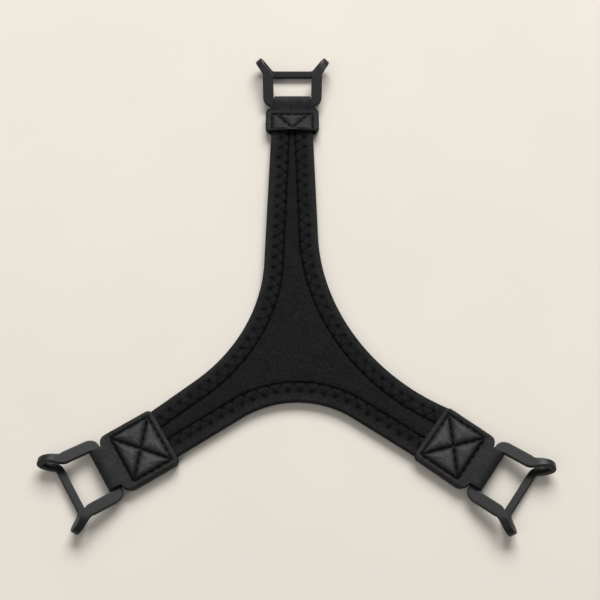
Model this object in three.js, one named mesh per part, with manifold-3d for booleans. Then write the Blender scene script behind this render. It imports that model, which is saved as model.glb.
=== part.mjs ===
// Three-way harness yoke: a flat padded fabric Y whose arms each end in a sewn tab that
// holds a two-pronged steel strap hook. Units are millimetres, +Z is up. The yoke lies on
// its back, and its origin is the middle of its bounding box at floor level.
import * as THREE from "three";
import { mergeVertices } from "three/addons/utils/BufferGeometryUtils.js";
import Module from "manifold-3d";

const wasm = await Module();
wasm.setup();

// ---------------------------------------------------------------- driving dimensions

// Where the axes of the fabric stand relative to the origin.
const PLACE = [1.62, -11.0];

// Each arm: where its hook's loop bar crosses the arm's axis, which way it points, how
// long its sewn tab is from the loop bar to the tab's inner end, half the tab's width, half
// the width of the load ply's tongue in it, its stitch pattern, and how far its hook's side
// bars stand from the arm's axis.
const ARMS = {
  top: {
    loop: [-4.1, 112.9],
    bearing: 90,
    tabLength: 18.2,
    halfWidth: 14.2,
    tongueHalfWidth: 10.4,
    stitch: "point",
    sideBar: 12.9,
  },
  left: {
    loop: [-90.2, -86.5],
    bearing: 211,
    tabLength: 31,
    halfWidth: 15.1,
    tongueHalfWidth: 13.2,
    stitch: "cross",
    sideBar: 13.7,
  },
  right: {
    loop: [86.7, -86.5],
    bearing: 324.5,
    tabLength: 31,
    halfWidth: 15.1,
    tongueHalfWidth: 13.2,
    stitch: "cross",
    sideBar: 13.7,
  },
};

// Each curved edge between two arms: the corner its two straight runs would meet at, the
// bearing of each run from that corner, and the radius that rounds it.
const EDGES = {
  left: { arms: ["top", "left"], corner: [-19.5, -19.8], runs: [87.9, 217], radius: 82 },
  lower: { arms: ["left", "right"], corner: [-1.0, -44.5], runs: [212.3, 327.1], radius: 49 },
  right: { arms: ["right", "top"], corner: [11.6, -27.9], runs: [333.8, 92.2], radius: 104 },
};

// Layers of the fabric from the back up, as [lowest, highest] z.
const LAYER = {
  lining: [0, 1.3],
  loadPly: [1.3, 2.1],
  foam: [2.1, 3.1],
  face: [3.1, 3.7],
};
const FABRIC_TOP = 4.2; // over the edge binding
const BINDING_PLY = 0.5;
const BINDING_WIDTH = 9.6;
const BINDING_WALL = 0.6;
const BINDING_ROUND = 0.5;
const BINDING_GAP = 0.2; // between the binding's inner edge and the lining's middle
const PLY_INSET = 0.7; // from the binding's outside to the layers inside it
const ARC_STEPS = 14;

// Edge stitching, measured inward from the fabric's edge.
const THREAD_WIDTH = 0.6;
const THREAD_HEIGHT = 0.3;
const COVER_WIDTH = 0.84;
const OUTER_ROW = 4.9;
const INNER_ROW = 9.0;
const COVER_PITCH = 5.75;

// Sewn tab.
const NECK_INSET = 3.15; // from the middle of the hook's side bar to the neck
const SHOULDER_START = -4.8;
const SHOULDER_END = -3.2;
const SHOULDER_HALF_WIDTH = 12.2;
const NECK_START = -2.8;
const TAB_TOP = 5.2;
const FOLD_RADIUS = 3.5;
const FOLD_BORE = 2.7;
const FOLD_SLOPE_END = -7.4;
const POCKET = [1.05, 2.35]; // z of the gap that takes the load ply
const POCKET_END = -12;
const TONGUE_GAP = 0.5;
const TAB_GAP = 0.3; // between the fabric's end and the tab
const BOX_START = -8.2; // first stitch line across the tab
const BOX_MARGIN = 2.6; // last stitch line to the tab's inner end
const BOX_HALF_WIDTH = 12.0;
const POINT_HALF_WIDTH = 10.8;
const POINT_DEPTH = 9.2;
const POINT_TOP_HALF_WIDTH = 8.2; // where the V starts on the first stitch line
const GROOVE_CLEARANCE = 0.3;
const BOBBIN = [0.05, 0.35]; // z of the thread under the tab
const TAB_CORNER = 2.4;
const CUT_MARGIN = 1; // how far a cutting shape runs past what it cuts

// Hook: one steel strip bent into a closed ring.
const STRIP = 2.6; // thickness
const STRIP_BEVEL = 0.35;
const LOOP_WIDTH = 4.2;
const SIDE_WIDTH = 5.7;
const WIDENING = 1.8; // how much sooner than the end of the loop corner the strip is at full width
const PRONG_WIDTH = 3.7;
const BEND_WIDTH = 4.4; // where the prong leaves its bend
const LOOP_CORNER = 3.1;
const SIDE_SPLAY = 1.5; // degrees that each side bar leans outwards
const BEND_AT = 16.0; // corner of the side bar and the prong, from the loop bar
const BEND_RADIUS = 6;
const FLARE = 36; // degrees that each prong turns outwards
const PRONG_STRAIGHT = 2.6;
const PRONG_TURN = 7.0; // how far the hairpin reaches past the straight part
const LAYER_DROP = 5.8; // from the side bars down to the crossbar
const LAYER_SHIFT = 2.4; // sideways, towards the hook's axis
const PRONG_DIP = 0.2; // how much more the outward half of the hairpin falls than the inward half
const PRONG_ROLL = 24; // degrees that the strip leans over in the hairpin
const LOOP_CORNER_STEPS = 7;
const BEND_STEPS = 4;
const HAIRPIN_STEPS = 14;
const CROSSBAR_STEPS = 5;
const CROSSBAR_AT = 18.0; // middle of the crossbar from the loop bar
const CROSSBAR_CORNER = 4.2;
const HOOK_PITCH = 12.18; // degrees that the hook's nose lifts when the crossbar is on the floor

// ------------------------------------------------------------------------- materials

const finish = (color, roughness, metalness = 0) =>
  new THREE.MeshStandardMaterial({ color, roughness, metalness });
const MATERIAL = {
  face: finish(0x1c1c1d, 0.95),
  lining: finish(0x232325, 0.95),
  foam: finish(0x3a3a3c, 0.9),
  webbing: finish(0x161617, 0.85),
  binding: finish(0x202021, 0.9),
  thread: finish(0x0c0c0d, 0.7),
  tab: finish(0x303032, 0.65),
  steel: finish(0x3a3b3d, 0.45, 0.6),
};

// --------------------------------------------------------------------- small helpers

const radians = THREE.MathUtils.degToRad;
const heading = (bearing) => new THREE.Vector2(Math.cos(radians(bearing)), Math.sin(radians(bearing)));
const leftOf = (v) => new THREE.Vector2(-v.y, v.x);

function solid(geometry) {
  const bare = geometry.index ? geometry.toNonIndexed() : geometry.clone();
  bare.deleteAttribute("normal");
  bare.deleteAttribute("uv");
  const merged = mergeVertices(bare, 1e-4);
  const mesh = new wasm.Mesh({
    numProp: 3,
    vertProperties: merged.attributes.position.array,
    triVerts: new Uint32Array(merged.index.array),
  });
  return new wasm.Manifold(mesh);
}

function geometryOf(body) {
  const mesh = body.getMesh();
  const geometry = new THREE.BufferGeometry();
  geometry.setAttribute("position", new THREE.BufferAttribute(mesh.vertProperties, mesh.numProp));
  geometry.setIndex(new THREE.BufferAttribute(mesh.triVerts, 1));
  geometry.computeVertexNormals();
  return geometry;
}

function slab(points, [low, high]) {
  const shape = new THREE.Shape(points);
  const options = { depth: high - low, bevelEnabled: false };
  return new THREE.ExtrudeGeometry(shape, options).translate(0, 0, low);
}

// Skins a row of equal cross-sections, each a ring of Vector3 that turns anticlockwise when
// seen from the far end. An open row gets flat ends, whose triangles come from `profile`.
function loft(rings, profile) {
  const size = rings[0].length;
  const position = rings.flat().flatMap((p) => [p.x, p.y, p.z]);
  const index = [];
  const spans = profile ? rings.length - 1 : rings.length;
  for (let i = 0; i < spans; i += 1) {
    const here = i * size;
    const next = ((i + 1) % rings.length) * size;
    for (let j = 0; j < size; j += 1) {
      const k = (j + 1) % size;
      index.push(here + j, here + k, next + k, here + j, next + k, next + j);
    }
  }
  if (profile) {
    const last = (rings.length - 1) * size;
    for (const [a, b, c] of THREE.ShapeUtils.triangulateShape(profile, [])) {
      index.push(a, c, b, last + a, last + b, last + c);
    }
  }
  const geometry = new THREE.BufferGeometry();
  geometry.setAttribute("position", new THREE.Float32BufferAttribute(position, 3));
  geometry.setIndex(index);
  geometry.computeVertexNormals();
  return geometry;
}

const root = new THREE.Group();
const yoke = new THREE.Group();
yoke.position.set(PLACE[0], PLACE[1], 0);
root.add(yoke);

function addMesh(group, name, geometry, material) {
  const mesh = new THREE.Mesh(geometry, material);
  mesh.name = name;
  group.add(mesh);
  return mesh;
}

// --------------------------------------------------------------------- fabric outline

// Where a line from `point` along `direction` crosses the line across an arm at `station`,
// a distance along the arm from its loop bar.
function meetArm(point, direction, arm, station) {
  const along = heading(arm.bearing);
  const end = new THREE.Vector2(...arm.loop).addScaledVector(along, station);
  const distance = end.sub(point).dot(along) / direction.dot(along);
  return point.clone().addScaledVector(direction, distance);
}

// One curved edge, moved `inset` into the fabric, from its first arm to its second. It
// stops just short of each arm's tab.
function edgePoints(name, inset) {
  const { arms, corner, runs, radius } = EDGES[name];
  const [first, second] = runs.map(heading);
  const bisector = first.clone().add(second).normalize();
  const halfAngle = Math.acos(bisector.dot(first));
  const apex = new THREE.Vector2(...corner).addScaledVector(bisector, -inset / Math.sin(halfAngle));
  const r = radius + inset;
  const centre = apex.clone().addScaledVector(bisector, r / Math.sin(halfAngle));
  const start = apex.clone().addScaledVector(first, r / Math.tan(halfAngle)).sub(centre).angle();
  const sweep = Math.PI - 2 * halfAngle;
  const [from, to] = arms.map((arm) => ARMS[arm]);
  const points = [meetArm(apex, first, from, -from.tabLength - TAB_GAP)];
  for (let i = 0; i <= ARC_STEPS; i += 1) {
    const angle = start - (sweep * i) / ARC_STEPS;
    points.push(new THREE.Vector2(Math.cos(angle), Math.sin(angle)).multiplyScalar(r).add(centre));
  }
  points.push(meetArm(apex, second, to, -to.tabLength - TAB_GAP));
  return points;
}

const outline = (inset) => Object.keys(EDGES).flatMap((name) => edgePoints(name, inset));

// The load ply's tongues reach into the pocket of each tab.
function loadPlyOutline() {
  return Object.keys(EDGES).flatMap((name) => {
    const points = edgePoints(name, PLY_INSET);
    const [from, to] = EDGES[name].arms.map((arm) => ARMS[arm]);
    return [tongueCorner(from, -1), tongueRoot(from, -1), ...points, tongueRoot(to, 1), tongueCorner(to, 1)];
  });
}

function armPoint(arm, station, offset) {
  const along = heading(arm.bearing);
  const point = new THREE.Vector2(...arm.loop).addScaledVector(along, station);
  return point.addScaledVector(leftOf(along), offset);
}

const tongueCorner = (arm, side) => armPoint(arm, POCKET_END - TONGUE_GAP, -side * arm.tongueHalfWidth);
const tongueRoot = (arm, side) => armPoint(arm, -arm.tabLength - TAB_GAP / 2, -side * arm.tongueHalfWidth);

// ------------------------------------------------------------------------ fabric body

function addFabric() {
  const bed = outline(PLY_INSET);
  const middle = outline(BINDING_WIDTH + BINDING_GAP);
  const liningLow = solid(slab(middle, [LAYER.lining[0], BINDING_PLY + BINDING_GAP]));
  const liningHigh = solid(slab(bed, [BINDING_PLY, LAYER.lining[1]]));
  addMesh(yoke, "back_lining", geometryOf(liningLow.add(liningHigh)), MATERIAL.lining);
  addMesh(yoke, "load_ply", slab(loadPlyOutline(), LAYER.loadPly), MATERIAL.webbing);
  addMesh(yoke, "foam_core", slab(bed, LAYER.foam), MATERIAL.foam);
  addMesh(yoke, "front_panel", slab(bed, LAYER.face), MATERIAL.face);
}

// Sweeps a profile of [inward, z] points along an edge.
function edgeSweep(name, profile) {
  const stack = profile.map(([inward]) => edgePoints(name, inward));
  const corner = (point, z) => new THREE.Vector3(point.x, point.y, z);
  const rings = stack[0].map((_, i) => profile.map(([, z], j) => corner(stack[j][i], z)));
  return loft(rings, profile.map(([inward, z]) => new THREE.Vector2(inward, z)));
}

function bindingProfile() {
  const wall = BINDING_WALL;
  const round = BINDING_ROUND;
  return [
    [round, 0],
    [BINDING_WIDTH, 0],
    [BINDING_WIDTH, BINDING_PLY],
    [wall, BINDING_PLY],
    [wall, FABRIC_TOP - BINDING_PLY],
    [BINDING_WIDTH, FABRIC_TOP - BINDING_PLY],
    [BINDING_WIDTH, FABRIC_TOP],
    [round, FABRIC_TOP],
    [0, FABRIC_TOP - round],
    [0, round],
  ];
}

function threadProfile(inward) {
  const half = THREAD_WIDTH / 2;
  const top = FABRIC_TOP + THREAD_HEIGHT;
  return [
    [inward - half, FABRIC_TOP],
    [inward + half, FABRIC_TOP],
    [inward + half, top],
    [inward - half, top],
  ];
}

// The cover thread zigzags between the two needle rows.
function coverThread(name) {
  const half = COVER_WIDTH / 2;
  const margin = THREAD_WIDTH / 2 + GROOVE_CLEARANCE + half;
  const near = new THREE.CatmullRomCurve3(flatCurve(name, OUTER_ROW + margin));
  const far = new THREE.CatmullRomCurve3(flatCurve(name, INNER_ROW - margin));
  const turns = Math.round(near.getLength() / COVER_PITCH) * 2;
  const rings = [];
  for (let i = 0; i <= turns; i += 1) {
    const track = i % 2 ? far : near;
    const at = track.getPointAt(i / turns);
    const along = track.getTangentAt(i / turns);
    const side = new THREE.Vector3(-along.y, along.x, 0).multiplyScalar(half);
    const low = [at.clone().sub(side), at.clone().add(side)];
    const high = [low[1].clone(), low[0].clone()];
    low.forEach((point) => point.setZ(FABRIC_TOP));
    high.forEach((point) => point.setZ(FABRIC_TOP + THREAD_HEIGHT));
    rings.push([...low, ...high]);
  }
  const square = [[0, 0], [1, 0], [1, 1], [0, 1]].map(([x, y]) => new THREE.Vector2(x, y));
  return loft(rings, square);
}

function flatCurve(name, inward) {
  return edgePoints(name, inward).map((p) => new THREE.Vector3(p.x, p.y, 0));
}

function addEdge(name) {
  addMesh(yoke, `${name}_binding`, edgeSweep(name, bindingProfile()), MATERIAL.binding);
  addMesh(yoke, `${name}_outer_thread`, edgeSweep(name, threadProfile(OUTER_ROW)), MATERIAL.thread);
  addMesh(yoke, `${name}_inner_thread`, edgeSweep(name, threadProfile(INNER_ROW)), MATERIAL.thread);
  addMesh(yoke, `${name}_cover_thread`, coverThread(name), MATERIAL.thread);
}

// --------------------------------------------------------------------------- sewn tab

// In an arm's own frame +X runs outwards along the arm from the loop bar, and +Y is to the
// left. The profile is the tab's long section, with the bore that the loop bar turns in.
function tabProfile(length) {
  const shape = new THREE.Shape();
  shape.moveTo(-length, 0);
  shape.lineTo(0, 0);
  shape.absarc(0, FOLD_RADIUS, FOLD_RADIUS, -Math.PI / 2, Math.PI / 2, false);
  shape.bezierCurveTo(-3, 2 * FOLD_RADIUS, -4, TAB_TOP, FOLD_SLOPE_END, TAB_TOP);
  shape.lineTo(-length, TAB_TOP);
  shape.lineTo(-length, POCKET[1]);
  shape.lineTo(POCKET_END, POCKET[1]);
  shape.lineTo(POCKET_END, POCKET[0]);
  shape.lineTo(-length, POCKET[0]);
  const bore = new THREE.Path();
  bore.absarc(0, FOLD_RADIUS, FOLD_BORE, 0, 2 * Math.PI, false);
  shape.holes.push(bore);
  return shape;
}

function tabPlan({ tabLength: length, halfWidth, sideBar }) {
  const cut = TAB_CORNER;
  const neck = sideBar - NECK_INSET;
  const side = [
    [-length, halfWidth - cut],
    [-length + cut / 3, halfWidth - cut / 3],
    [-length + cut, halfWidth],
    [SHOULDER_START - cut / 2, halfWidth],
    [SHOULDER_START, halfWidth - cut / 2],
    [SHOULDER_END, SHOULDER_HALF_WIDTH],
    [NECK_START, neck],
    [FOLD_RADIUS + CUT_MARGIN, neck],
  ];
  const left = side.map(([u, v]) => new THREE.Vector2(u, v));
  const right = side.map(([u, v]) => new THREE.Vector2(u, -v)).reverse();
  return left.concat(right);
}

// Stitch lines on a tab, each as [from, to].
function stitchLines({ stitch, tabLength }) {
  const near = BOX_START;
  if (stitch === "point") {
    const w = POINT_HALF_WIDTH;
    const tip = [near - POINT_DEPTH, 0];
    const far = near - POINT_DEPTH;
    return [
      [[near, -w], [near, w]],
      [[near, -w], [far, -w]],
      [[near, w], [far, w]],
      [[near, -POINT_TOP_HALF_WIDTH], tip],
      [[near, POINT_TOP_HALF_WIDTH], tip],
    ];
  }
  const w = BOX_HALF_WIDTH;
  const far = BOX_MARGIN - tabLength;
  const corners = [[near, -w], [near, w], [far, w], [far, -w]];
  const sides = corners.map((corner, i) => [corner, corners[(i + 1) % 4]]);
  return [...sides, [corners[0], corners[2]], [corners[1], corners[3]]];
}

// Joins a flat ribbon along every line into one piece.
function ribbons(lines, width, [low, high]) {
  const pieces = lines.map(([from, to]) => {
    const a = new THREE.Vector2(...from);
    const b = new THREE.Vector2(...to);
    const span = b.clone().sub(a);
    const box = new THREE.BoxGeometry(span.length() + width, width, high - low);
    box.rotateZ(span.angle());
    box.translate((a.x + b.x) / 2, (a.y + b.y) / 2, (low + high) / 2);
    return solid(box);
  });
  return pieces.reduce((whole, piece) => whole.add(piece));
}

function tabBody(arm) {
  const profile = new THREE.ExtrudeGeometry(tabProfile(arm.tabLength), {
    depth: 2 * (arm.halfWidth + CUT_MARGIN),
    bevelEnabled: false,
    curveSegments: 8,
  });
  profile.rotateX(Math.PI / 2).translate(0, arm.halfWidth + CUT_MARGIN, 0);
  const plan = slab(tabPlan(arm), [-CUT_MARGIN, 2 * FOLD_RADIUS + CUT_MARGIN]);
  const grooveWidth = THREAD_WIDTH + 2 * GROOVE_CLEARANCE;
  const groove = ribbons(stitchLines(arm), grooveWidth, [-CUT_MARGIN, BOBBIN[1] + GROOVE_CLEARANCE]);
  return solid(profile).intersect(solid(plan)).subtract(groove);
}

function addTab(name, group) {
  const arm = ARMS[name];
  const lines = stitchLines(arm);
  const needle = ribbons(lines, THREAD_WIDTH, [TAB_TOP, TAB_TOP + THREAD_HEIGHT]);
  addMesh(group, `${name}_tab`, geometryOf(tabBody(arm)), MATERIAL.tab);
  addMesh(group, `${name}_tab_needle_thread`, geometryOf(needle), MATERIAL.thread);
  const bobbin = ribbons(lines, THREAD_WIDTH, BOBBIN);
  addMesh(group, `${name}_tab_bobbin_thread`, geometryOf(bobbin), MATERIAL.thread);
}

// ------------------------------------------------------------------------------- hook

// A station of the strip: its middle, the way it runs, the way its width lies, its width.
const station = (at, along, across, width) => ({ at, along, across, width });

// Walks one half of the ring, from the middle of the loop bar to the middle of the crossbar.
function halfRing(sideBar) {
  const stations = [];
  const at = new THREE.Vector3();
  let travel = 90;
  let flip = 0;
  const put = (width) => {
    const run = heading(travel);
    const side = heading(travel - 90 + flip);
    const along = new THREE.Vector3(run.x, run.y, 0);
    stations.push(station(at.clone(), along, new THREE.Vector3(side.x, side.y, 0), width));
  };
  const forward = (length, width) => {
    const run = heading(travel);
    at.add(new THREE.Vector3(run.x, run.y, 0).multiplyScalar(length));
    put(width);
  };
  const turn = (angle, radius, fromWidth, toWidth, steps, widening = 1) => {
    const chord = 2 * radius * Math.sin(radians(Math.abs(angle)) / steps / 2);
    for (let i = 1; i <= steps; i += 1) {
      travel += angle / steps / 2;
      const run = heading(travel);
      at.add(new THREE.Vector3(run.x, run.y, 0).multiplyScalar(chord));
      travel += angle / steps / 2;
      put(fromWidth + (toWidth - fromWidth) * Math.min((i / steps) * widening, 1));
    }
  };

  put(LOOP_WIDTH);
  forward(sideBar - LOOP_CORNER, LOOP_WIDTH);
  turn(SIDE_SPLAY - 90, LOOP_CORNER, LOOP_WIDTH, SIDE_WIDTH, LOOP_CORNER_STEPS, WIDENING);
  const bendTangent = BEND_RADIUS * Math.tan(radians(FLARE - SIDE_SPLAY) / 2);
  forward(BEND_AT - bendTangent - at.x, SIDE_WIDTH);
  turn(FLARE - SIDE_SPLAY, BEND_RADIUS, SIDE_WIDTH, BEND_WIDTH, BEND_STEPS);
  forward(PRONG_STRAIGHT - bendTangent, (BEND_WIDTH + PRONG_WIDTH) / 2);

  const out = new THREE.Vector3(Math.cos(radians(FLARE)), Math.sin(radians(FLARE)), 0);
  const inward = new THREE.Vector3(out.y, -out.x, 0);
  const up = new THREE.Vector3(0, 0, 1);
  const root = at.clone();
  const drop = inward.clone().multiplyScalar(LAYER_SHIFT / 2).addScaledVector(up, -LAYER_DROP / 2);
  for (let i = 1; i <= HAIRPIN_STEPS; i += 1) {
    const t = (Math.PI * i) / HAIRPIN_STEPS;
    const middle = root.clone().addScaledVector(out, PRONG_TURN * Math.sin(t));
    middle.addScaledVector(drop, 1 - Math.cos(t) + PRONG_DIP * Math.sin(t) ** 2);
    const fall = Math.sin(t) * (1 + 2 * PRONG_DIP * Math.cos(t));
    const along = out.clone().multiplyScalar(PRONG_TURN * Math.cos(t)).addScaledVector(drop, fall);
    const roll = radians(PRONG_ROLL) * Math.sin(t);
    const across = inward.clone().multiplyScalar(Math.cos(roll)).addScaledVector(up, Math.sin(roll));
    stations.push(station(middle, along.normalize(), across, PRONG_WIDTH));
  }

  at.copy(stations.at(-1).at);
  travel = FLARE + 180;
  flip = 180;
  const cornerRun = CROSSBAR_CORNER * (1 - Math.sin(radians(FLARE)));
  forward((at.x - cornerRun - CROSSBAR_AT) / Math.cos(radians(FLARE)), PRONG_WIDTH);
  turn(90 - FLARE, CROSSBAR_CORNER, PRONG_WIDTH, PRONG_WIDTH, CROSSBAR_STEPS);
  forward(at.y, PRONG_WIDTH);
  return stations;
}

function stripSection({ at, along, across, width }) {
  const side = across.clone().addScaledVector(along, -across.dot(along)).normalize();
  const out = side.clone().cross(along).normalize();
  const half = width / 2;
  const thick = STRIP / 2;
  const bevel = STRIP_BEVEL;
  const corners = [
    [half, bevel - thick],
    [half - bevel, -thick],
    [bevel - half, -thick],
    [-half, bevel - thick],
    [-half, thick - bevel],
    [bevel - half, thick],
    [half - bevel, thick],
    [half, thick - bevel],
  ];
  return corners.map(([a, b]) => at.clone().addScaledVector(side, a).addScaledVector(out, b));
}

function hookGeometry({ sideBar }) {
  const half = halfRing(sideBar);
  const mirror = (v, sign) => new THREE.Vector3(v.x * sign, -v.y * sign, v.z * sign);
  const other = half.slice(1, -1).reverse().map((s) => ({
    at: mirror(s.at, 1),
    along: mirror(s.along, -1),
    across: mirror(s.across, 1),
    width: s.width,
  }));
  return loft([...half, ...other].map(stripSection));
}

// ----------------------------------------------------------------------------- assembly

addFabric();
Object.keys(EDGES).forEach(addEdge);
for (const [name, arm] of Object.entries(ARMS)) {
  const group = new THREE.Group();
  group.position.set(arm.loop[0], arm.loop[1], 0);
  group.rotation.z = radians(arm.bearing);
  yoke.add(group);
  addTab(name, group);
  const hook = addMesh(group, `${name}_hook`, hookGeometry(arm), MATERIAL.steel);
  hook.position.z = FOLD_RADIUS;
  hook.rotation.y = -radians(HOOK_PITCH);
}

export default root;
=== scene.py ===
"""Three-way harness yoke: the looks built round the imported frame.

Lengths are in millimetres in the shape functions and in metres in Blender.
"""

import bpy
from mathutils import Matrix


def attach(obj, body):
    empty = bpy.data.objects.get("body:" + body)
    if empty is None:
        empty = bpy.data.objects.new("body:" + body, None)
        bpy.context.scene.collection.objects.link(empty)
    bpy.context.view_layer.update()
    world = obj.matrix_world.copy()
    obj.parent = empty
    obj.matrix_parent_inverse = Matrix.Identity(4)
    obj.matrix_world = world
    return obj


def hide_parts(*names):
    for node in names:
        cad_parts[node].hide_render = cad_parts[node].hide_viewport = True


bl_info = {
    "name": "Three-Way Harness Yoke",
    "version": (1, 0, 0),
    "blender": (4, 5, 0),
    "location": "3D Viewport > Sidebar > Yoke",
    "description": "Builds a padded cloth harness yoke with sewn tabs and steel strap hooks",
    "category": "Add Mesh",
}

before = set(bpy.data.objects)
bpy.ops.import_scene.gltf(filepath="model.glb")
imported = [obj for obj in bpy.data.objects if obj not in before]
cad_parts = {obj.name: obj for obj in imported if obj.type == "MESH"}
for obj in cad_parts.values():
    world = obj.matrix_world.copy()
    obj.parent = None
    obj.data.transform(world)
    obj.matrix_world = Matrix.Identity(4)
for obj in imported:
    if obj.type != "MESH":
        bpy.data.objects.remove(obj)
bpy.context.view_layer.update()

import math

import bmesh
import bpy
import numpy as np
from bpy.props import FloatProperty, FloatVectorProperty, PointerProperty
from mathutils import Vector
from mathutils.geometry import delaunay_2d_cdt

# ------------------------------------------------------------------ sizes of the frame, mm

MM = 0.001
PLACE = np.array([1.62, -11.0])
ARMS = {
    "top": dict(loop=(-4.1, 112.9), bearing=90, length=18.2, half=14.2, stitch="point", side_bar=12.9),
    "left": dict(loop=(-90.2, -86.5), bearing=211, length=31, half=15.1, stitch="cross", side_bar=13.7),
    "right": dict(
        loop=(86.7, -86.5), bearing=324.5, length=31, half=15.1, stitch="cross", side_bar=13.7),
}
EDGES = {
    "left": dict(arms=("top", "left"), corner=(-19.5, -19.8), runs=(87.9, 217), radius=82),
    "lower": dict(arms=("left", "right"), corner=(-1.0, -44.5), runs=(212.3, 327.1), radius=49),
    "right": dict(arms=("right", "top"), corner=(11.6, -27.9), runs=(333.8, 92.2), radius=104),
}
EDGE_SEEDS = {"left": 40, "lower": 50, "right": 60}
OUTER_ROW = 4.9  # from the edge to each row of stitches
INNER_ROW = 9.0
SEAM_AT = 9.4  # where the folded edge cloth ends and the face cloth starts
EDGE_PITCH = 5.75
TUCK = 1.6  # how far the arm's cloth runs under the tab
PANEL_LOW = 3.45

FOLD_RADIUS = 3.5
FOLD_BORE = 2.7
FOLD_SLOPE_END = -7.4
BOX_START = -8.2
BOX_MARGIN = 2.6
BOX_HALF = 12.0
POINT_HALF = 10.8
POINT_TOP_HALF = 8.2
POINT_DEPTH = 9.2
POINT_QUILT = 0.45  # how much flatter the short tab's fields are
NECK_INSET = 3.15  # from the middle of the hook's side bar to the neck
TAB_PITCH = 3.7
TAB_TOP = 5.2  # height of the tab's border
TAB_SHADE = 0.55  # painted light of the tab's sides and underside, a middle shade
SHOULDERS = {  # station, and how far the tab has narrowed towards its neck
    "cross": (
        (-7.2, 0.0), (-6.0, 0.05), (-4.9, 0.16), (-4.0, 0.34), (-3.3, 0.56), (-2.95, 0.78),
        (-2.75, 1.0),
    ),
    "point": ((-7.0, 0.0), (-6.0, 0.05), (-5.0, 0.22), (-4.3, 0.42), (-3.2, 0.62), (-2.75, 1.0)),
}

STRIP = 2.6
LOOP_WIDTH = 4.2
SIDE_WIDTH = 5.7
BEND_WIDTH = 4.4
PRONG_WIDTH = 3.7
LOOP_CORNER = 3.1
WIDENING = 1.8
SIDE_SPLAY = 1.5
BEND_AT = 16.0
BEND_RADIUS = 6
FLARE = 36
PRONG_STRAIGHT = 2.6
PRONG_TURN = 7.0
LAYER_DROP = 5.8
LAYER_SHIFT = 2.4
PRONG_DIP = 0.2
PRONG_ROLL = 24
CROSSBAR_AT = 18.0
CROSSBAR_CORNER = 4.2
HOOK_PITCH = 12.18

# ------------------------------------------------------------------------------ settings


class YokeClothSettings(bpy.types.PropertyGroup):
    cloth_colour: FloatVectorProperty(
        name="Cloth colour", description="Colour of the face cloth and the folded edges",
        subtype="COLOR", size=3, min=0, max=1, default=(0.0102, 0.0103, 0.0105))
    lining_colour: FloatVectorProperty(
        name="Lining colour", description="Colour of the cloth on the back",
        subtype="COLOR", size=3, min=0, max=1, default=(0.017, 0.017, 0.019))
    edge_height: FloatProperty(
        name="Edge height", description="Thickness of the yoke at its folded edges",
        unit="LENGTH", default=0.0042, min=0.003, max=0.005)
    seam_depth: FloatProperty(
        name="Seam depth", description="Depth of the groove along the inner seam",
        unit="LENGTH", default=0.00065, min=0, max=0.001)
    dimple_depth: FloatProperty(
        name="Dimple depth", description="Depth of the dimple at each stitch of the outer row",
        unit="LENGTH", default=0.00062, min=0, max=0.001)
    panel_crown: FloatProperty(
        name="Face crown", description="How much the middle of the face cloth bulges",
        unit="LENGTH", default=0.00025, min=0, max=0.001)


class YokeThreadSettings(bpy.types.PropertyGroup):
    thread_colour: FloatVectorProperty(
        name="Thread colour", description="Colour of the sewing thread",
        subtype="COLOR", size=3, min=0, max=1, default=(0.0045, 0.0045, 0.005))
    thread_radius: FloatProperty(
        name="Thread radius", description="Half the thickness of the edge thread",
        unit="LENGTH", default=0.00021, min=0.0001, max=0.0004)
    tab_thread_radius: FloatProperty(
        name="Tab thread radius", description="Half the thickness of the tab thread",
        unit="LENGTH", default=0.00036, min=0.0001, max=0.0005)


class YokeTabSettings(bpy.types.PropertyGroup):
    tab_colour: FloatVectorProperty(
        name="Tab colour", description="Colour of the sewn tabs",
        subtype="COLOR", size=3, min=0, max=1, default=(0.0226, 0.0228, 0.0230))
    border_height: FloatProperty(
        name="Border height", description="Height of the tab's flat border",
        unit="LENGTH", default=0.0052, min=0.0045, max=0.006)
    quilt_height: FloatProperty(
        name="Quilt height", description="How much each quilted field stands over its stitches",
        unit="LENGTH", default=0.0016, min=0, max=0.003)
    groove_depth: FloatProperty(
        name="Groove depth", description="Depth of the stitch lines below the border",
        unit="LENGTH", default=0.0006, min=0, max=0.001)


class YokeHookSettings(bpy.types.PropertyGroup):
    steel_colour: FloatVectorProperty(
        name="Coating colour", description="Colour of the coating on the steel",
        subtype="COLOR", size=3, min=0, max=1, default=(0.0032, 0.0032, 0.0034))
    strip_edge: FloatProperty(
        name="Strip edge radius", description="Rounding of the steel strip's edges",
        unit="LENGTH", default=0.0005, min=0.0001, max=0.001)


class YokeStageSettings(bpy.types.PropertyGroup):
    floor_colour: FloatVectorProperty(
        name="Floor colour", description="Colour of the floor",
        subtype="COLOR", size=3, min=0, max=1, default=(0.735, 0.685, 0.612))
    key_power: FloatProperty(
        name="Key power", description="Power of the large soft light",
        subtype="POWER", default=119.0, min=0)
    sky_strength: FloatProperty(
        name="Sky strength", description="Brightness of the light from all round",
        default=0.30, min=0)
    focal_length: FloatProperty(
        name="Focal length", description="Focal length of the camera, in millimetres",
        default=62.4, min=20, max=200)


# ------------------------------------------------------------------------- small helpers


def heading(degrees):
    angle = math.radians(degrees)
    return np.array([math.cos(angle), math.sin(angle)])


def bump_at(distance, width):
    """A smooth bump, 1 at no distance and nearly 0 past twice its width."""
    return np.exp(-((distance / width) ** 2))


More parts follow.
